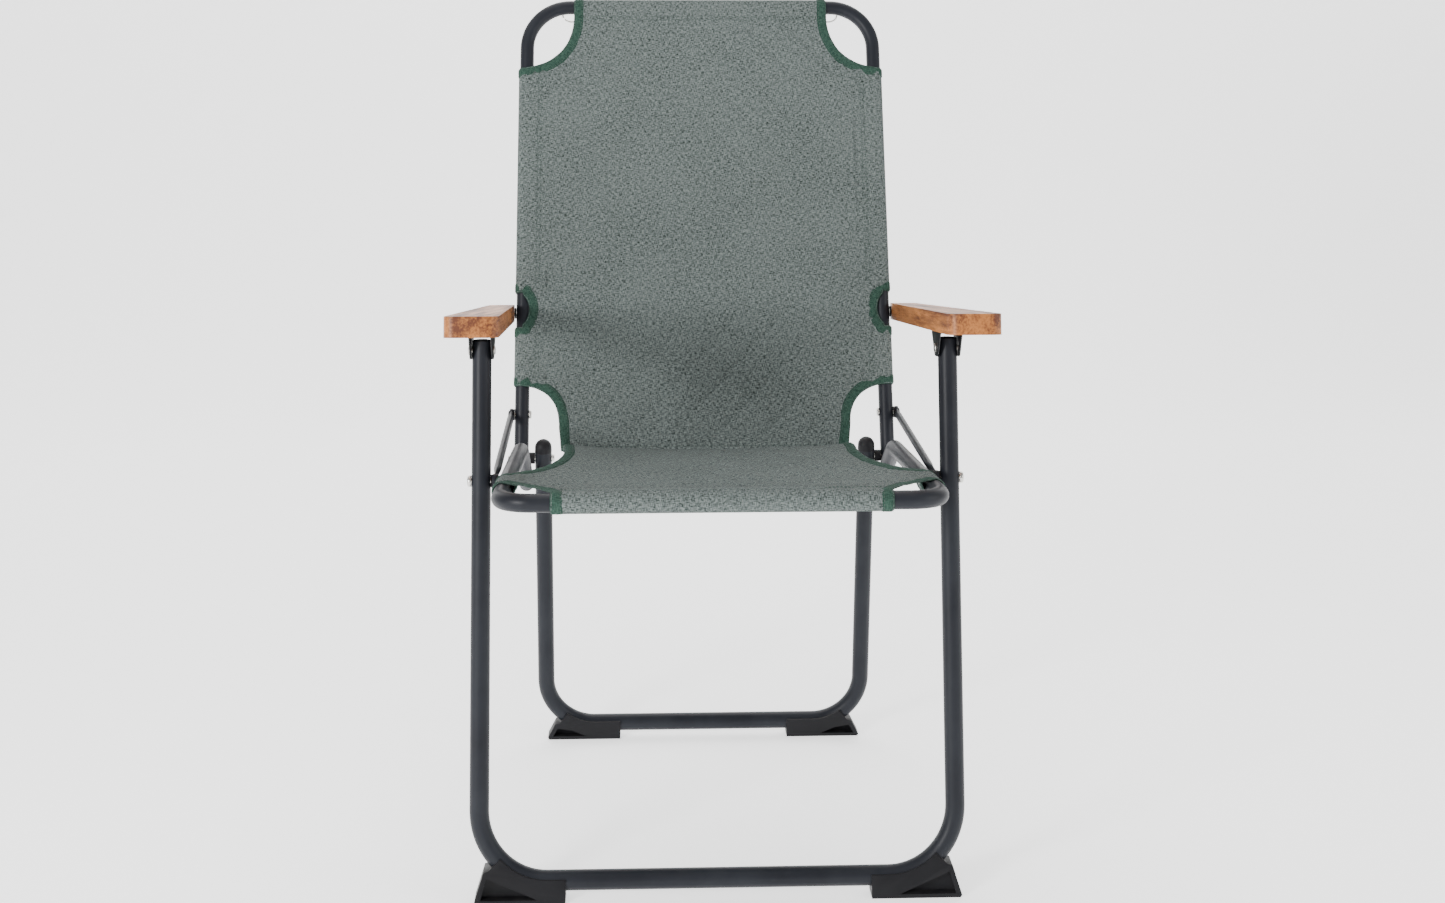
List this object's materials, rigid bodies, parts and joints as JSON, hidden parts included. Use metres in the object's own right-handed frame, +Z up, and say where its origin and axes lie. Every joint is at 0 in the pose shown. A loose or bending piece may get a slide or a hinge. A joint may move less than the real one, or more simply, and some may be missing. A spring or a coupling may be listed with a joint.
{
  "type": "folding camp chair",
  "caption": "Folding camp chair with bent steel tube frames, wooden armrests and a one-piece fabric sling; it folds flat through a linkage at the armrests.",
  "frame": {"origin": "on the floor, under the middle of the open chair's bounding box", "axes": "+Z up, the sitter faces -Y, +X is to the left of a sitter"},
  "size_m": [0.581, 0.7314, 1.0093],
  "materials": {
    "tube": "dark grey powder coat, satin",
    "plastic": "black moulded plastic",
    "black_steel": "black painted sheet steel",
    "zinc": "zinc plated, bright",
    "wood": "oiled reddish hardwood",
    "fabric": "woven grey-green melange with a green edge binding"
  },
  "bodies": {
    "front_legs": {"front_leg_frame": "tube", "front_leg_cap_left": "plastic", "front_leg_cap_right": "plastic", "front_foot_left": "plastic", "front_foot_right": "plastic", "front_pivot_bolt_left": "zinc", "front_pivot_bolt_right": "zinc", "leg_washer_left": "plastic", "leg_washer_right": "plastic", "rail_spacer_left": "plastic", "rail_spacer_right": "plastic"},
    "armrests": {"armrest_left": "wood", "armrest_right": "wood", "armrest_bracket_left": "black_steel", "armrest_bracket_right": "black_steel", "bracket_rivet_left": "zinc", "bracket_rivet_right": "zinc", "bracket_screw_front_left": "zinc", "bracket_screw_front_right": "zinc", "bracket_screw_rear_left": "zinc", "bracket_screw_rear_right": "zinc", "armrest_bolt_left": "zinc", "armrest_bolt_right": "zinc", "armrest_spacer_left": "plastic", "armrest_spacer_right": "plastic"},
    "links": {"link_left": "tube", "link_right": "tube", "link_cap_left": "black_steel", "link_cap_right": "black_steel"},
    "back": {"back_frame": "tube", "sling_back": "fabric", "back_post_cap_left": "plastic", "back_post_cap_right": "plastic", "link_rivet_left": "zinc", "link_rivet_right": "zinc", "link_spacer_left": "plastic", "link_spacer_right": "plastic", "rear_leg_bolt_left": "zinc", "rear_leg_bolt_right": "zinc", "rear_leg_spacer_left": "plastic", "rear_leg_spacer_right": "plastic", "top_loop_left": "zinc", "top_loop_right": "zinc"},
    "rear_legs": {"rear_leg_frame": "tube", "rear_leg_cap_left": "plastic", "rear_leg_cap_right": "plastic", "rear_foot_left": "plastic", "rear_foot_right": "plastic"},
    "seat": {"seat_frame": "tube", "sling_seat": "fabric", "seat_pivot_nut_left": "zinc", "seat_pivot_nut_right": "zinc", "seat_rear_bolt_left": "zinc", "seat_rear_bolt_right": "zinc", "seat_rear_washer_left": "plastic", "seat_rear_washer_right": "plastic"}
  },
  "joints": [
    {"name": "arm_fold", "type": "hinge", "parent": "front_legs", "child": "armrests", "pos_m": [0, -0.15821, 0.602], "axis": [-1, 0, 0], "range_deg": [0, 52.8]},
    {"name": "back_fold", "type": "hinge", "parent": "armrests", "child": "back", "pos_m": [0, 0.22179, 0.586], "axis": [1, 0, 0], "range_deg": [0, 55.5]},
    {"name": "link_swing", "type": "hinge", "parent": "front_legs", "child": "links", "pos_m": [0, -0.17872, 0.456], "axis": [-1, 0, 0], "range_deg": [0, 56.5]},
    {"name": "rear_leg_fold", "type": "hinge", "parent": "back", "child": "rear_legs", "pos_m": [0, 0.162, 0.402], "axis": [-1, 0, 0], "range_deg": [0, 151]},
    {"name": "seat_fold", "type": "hinge", "parent": "rear_legs", "child": "seat", "pos_m": [0, 0.17078, 0.368], "axis": [1, 0, 0], "range_deg": [0, 97]}
  ],
  "couplings": [
    {"joint": "back_fold", "follows": "arm_fold", "ratio": 1.05},
    {"joint": "link_swing", "follows": "arm_fold", "ratio": 1.065},
    {"joint": "rear_leg_fold", "follows": "arm_fold", "ratio": 2.85},
    {"joint": "seat_fold", "follows": "arm_fold", "ratio": 1.83}
  ]
}
